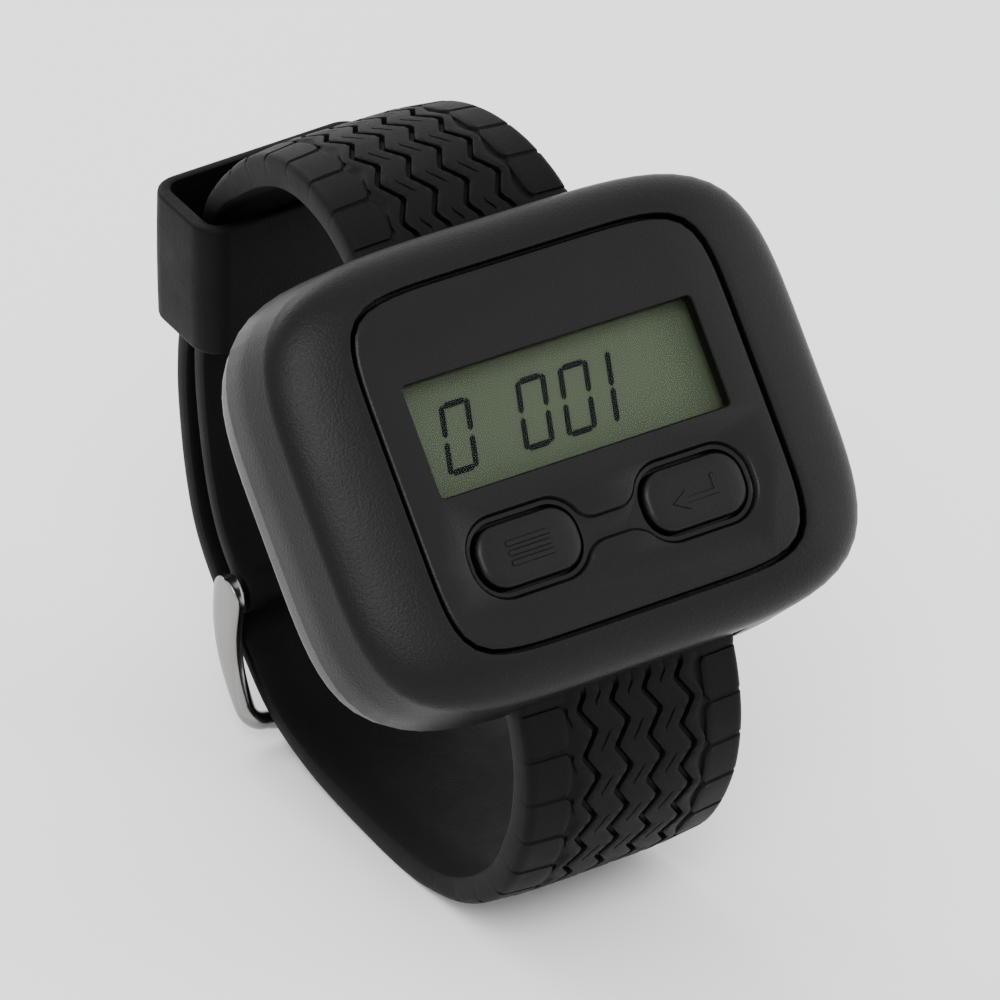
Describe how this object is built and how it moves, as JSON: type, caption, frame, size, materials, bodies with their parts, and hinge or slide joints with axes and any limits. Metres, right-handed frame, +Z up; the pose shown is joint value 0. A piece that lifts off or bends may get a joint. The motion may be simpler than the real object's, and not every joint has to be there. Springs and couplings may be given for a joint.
{
  "type": "wrist pager",
  "caption": "Wrist-worn pager on a buckled rubber strap: tilted case with a numeric display and two push buttons, standing on the strap loop.",
  "frame": {"origin": "middle of the bounding box in x and y, on the surface that the strap rests on", "axes": "+X to the wearer's right along the case's length, +Y from the face towards the back of the loop, +Z up; the face leans back 39 degrees from upright"},
  "size_m": [0.0526, 0.0643, 0.0628],
  "materials": {
    "case_black": "satin moulded, fine spark texture",
    "panel_black": "satin moulded, finer texture",
    "button_black": "satin moulded",
    "clear_window": "polished clear",
    "liquid_crystal": "grey-green reflective",
    "pale_moulding": "natural",
    "elastomer": "layered",
    "board_green": "solder mask",
    "chip_black": "moulded epoxy",
    "polished_steel": "polished",
    "plain_steel": "turned",
    "brass": "plain",
    "ferrite": "sintered",
    "copper_wire": "enamelled",
    "strap_rubber": "moulded, matt"
  },
  "bodies": {
    "pager": {"front_shell": "case_black", "back_shell": "case_black", "case_screw_1": "plain_steel", "case_screw_2": "plain_steel", "case_screw_3": "plain_steel", "case_screw_4": "plain_steel", "face_panel": "panel_black", "display_lens": "clear_window", "lcd_glass": "liquid_crystal", "lcd_frame": "pale_moulding", "upper_zebra_strip": "elastomer", "lower_zebra_strip": "elastomer", "function_switch_body": "chip_black", "enter_switch_body": "chip_black", "circuit_board": "board_green", "controller_chip": "chip_black", "receiver_chip": "chip_black", "crystal_can": "plain_steel", "ferrite_rod": "ferrite", "antenna_winding": "copper_wire", "battery_cell": "plain_steel", "battery_contact": "brass", "sounder_can": "chip_black", "motor_can": "plain_steel", "upper_spring_bar": "plain_steel", "lower_spring_bar": "plain_steel", "strap_buckle_half": "strap_rubber", "strap_tail_half": "strap_rubber", "buckle_spring_bar": "plain_steel"},
    "function_button": {"function_button": "button_black", "function_switch_plunger": "pale_moulding"},
    "enter_button": {"enter_button": "button_black", "enter_switch_plunger": "pale_moulding"},
    "battery_hatch": {"battery_hatch": "case_black"},
    "motor_rotor": {"motor_weight": "brass"},
    "buckle_frame": {"buckle_frame": "polished_steel"},
    "buckle_tongue": {"buckle_tongue": "polished_steel"},
    "strap_keeper": {"strap_keeper": "strap_rubber"}
  },
  "joints": [
    {"name": "function_button_press", "type": "slide", "parent": "pager", "child": "function_button", "axis": [0, 0.7771, -0.6293], "range_m": [0, 0.0005], "stiffness_N_per_m": 600},
    {"name": "enter_button_press", "type": "slide", "parent": "pager", "child": "enter_button", "axis": [0, 0.7771, -0.6293], "range_m": [0, 0.0005], "stiffness_N_per_m": 600},
    {"name": "battery_hatch_turn", "type": "hinge", "parent": "pager", "child": "battery_hatch", "pos_m": [0, -0.01118, 0.03928], "axis": [0, -0.7771, 0.6293], "range_deg": [0, 60]},
    {"name": "motor_spin", "type": "hinge", "parent": "pager", "child": "motor_rotor", "pos_m": [-0.0172, -0.01366, 0.04129], "axis": [0, 0.6293, 0.7771], "continuous": true},
    {"name": "buckle_frame_pivot", "type": "hinge", "parent": "pager", "child": "buckle_frame", "pos_m": [0, 0.0198, 0.0139], "axis": [1, 0, 0], "range_deg": [0, 5]},
    {"name": "buckle_tongue_pivot", "type": "hinge", "parent": "buckle_frame", "child": "buckle_tongue", "pos_m": [0, 0.0198, 0.0139], "axis": [1, 0, 0], "range_deg": [0, 5]},
    {"name": "keeper_slide", "type": "slide", "parent": "pager", "child": "strap_keeper", "axis": [0, 0.0995, -0.995], "range_m": [0, 0.008]}
  ]
}
